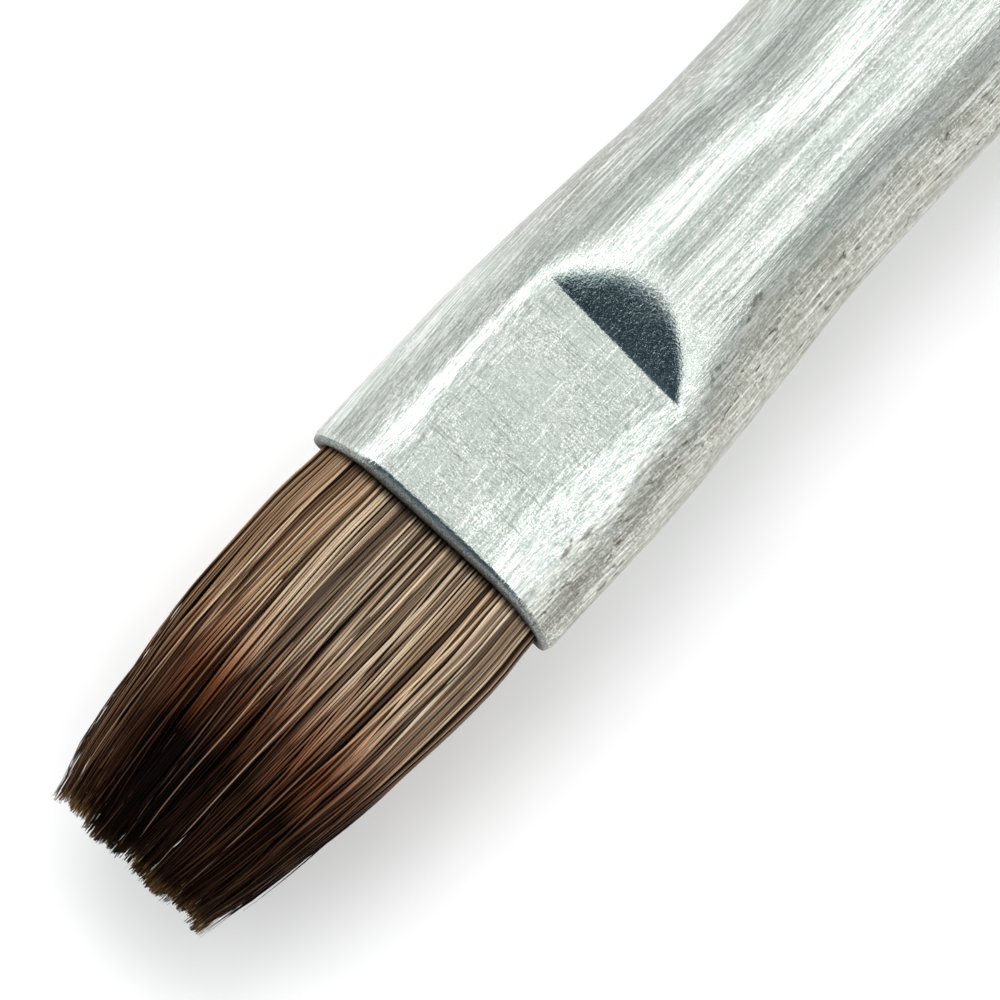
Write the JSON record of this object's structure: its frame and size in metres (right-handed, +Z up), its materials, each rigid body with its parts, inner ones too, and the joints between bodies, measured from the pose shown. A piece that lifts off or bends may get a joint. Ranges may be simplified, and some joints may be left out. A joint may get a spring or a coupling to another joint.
{
  "type": "fine detail brush",
  "caption": "Flat hobby paint brush: natural hair tuft that bends and fans out, satin metal ferrule with a half-moon dent, and a lacquered wooden handle with a three-cornered grip.",
  "frame": {"origin": "on the brush's axis, at the middle of the round land behind the ferrule", "axes": "+X along the axis towards the handle's tail, the hair points to -X, +Y across the tuft's width, +Z up from the ferrule's flat face"},
  "size_m": [0.1503, 0.0088, 0.0086],
  "materials": {
    "wood": "fine-grained pale hardwood, sanded",
    "lacquer": "red-brown stained lacquer, glossy, with the grain showing through",
    "dip_lacquer": "black dipped lacquer, glossy",
    "glue": "cured wood glue",
    "ferrule_metal": "satin, finely brushed, with small pits and drawing lines",
    "thread": "twisted thread",
    "cement": "clear amber resin",
    "belly_hair": "natural hair, brown, lighter inside",
    "cover_hair": "natural hair, brown with pale and dark strands",
    "tip_hair": "natural hair, dark brown to black towards the tip"
  },
  "bodies": {
    "brush": {"handle_core": "wood", "handle_lacquer": "lacquer", "handle_end_dip": "dip_lacquer", "tenon_glue": "glue", "ferrule": "ferrule_metal", "hair_butts": "belly_hair", "binding_thread": "thread", "root_cement": "cement", "mouth_hair": "belly_hair"},
    "tuft": {"root_top": "cover_hair", "root_belly": "belly_hair", "root_bottom": "cover_hair", "lock_middle_top": "tip_hair", "lock_middle_belly": "tip_hair", "lock_middle_bottom": "tip_hair"},
    "lock_far_left": {"lock_far_left_top": "tip_hair", "lock_far_left_belly": "tip_hair", "lock_far_left_bottom": "tip_hair"},
    "lock_left": {"lock_left_top": "tip_hair", "lock_left_belly": "tip_hair", "lock_left_bottom": "tip_hair"},
    "lock_right": {"lock_right_top": "tip_hair", "lock_right_belly": "tip_hair", "lock_right_bottom": "tip_hair"},
    "lock_far_right": {"lock_far_right_top": "tip_hair", "lock_far_right_belly": "tip_hair", "lock_far_right_bottom": "tip_hair"}
  },
  "joints": [
    {"name": "tuft_flex", "type": "hinge", "parent": "brush", "child": "tuft", "pos_m": [-0.03175, 0, 0], "axis": [0, 1, 0], "range_deg": [-40, 40], "stiffness_Nm_per_rad": 0.002},
    {"name": "splay_far_left", "type": "hinge", "parent": "tuft", "child": "lock_far_left", "pos_m": [-0.0355, -0.00246, 0], "axis": [0, 0, 1], "range_deg": [0, 12], "stiffness_Nm_per_rad": 0.0001},
    {"name": "splay_left", "type": "hinge", "parent": "tuft", "child": "lock_left", "pos_m": [-0.0355, -0.00123, 0], "axis": [0, 0, 1], "range_deg": [0, 6], "stiffness_Nm_per_rad": 0.0001},
    {"name": "splay_right", "type": "hinge", "parent": "tuft", "child": "lock_right", "pos_m": [-0.0355, 0.00123, 0], "axis": [0, 0, 1], "range_deg": [-6, 0], "stiffness_Nm_per_rad": 0.0001},
    {"name": "splay_far_right", "type": "hinge", "parent": "tuft", "child": "lock_far_right", "pos_m": [-0.0355, 0.00246, 0], "axis": [0, 0, 1], "range_deg": [-12, 0], "stiffness_Nm_per_rad": 0.0001}
  ],
  "couplings": [
    {"joint": "splay_left", "follows": "splay_far_left", "ratio": 0.5},
    {"joint": "splay_right", "follows": "splay_far_left", "ratio": -0.5},
    {"joint": "splay_far_right", "follows": "splay_far_left", "ratio": -1}
  ]
}
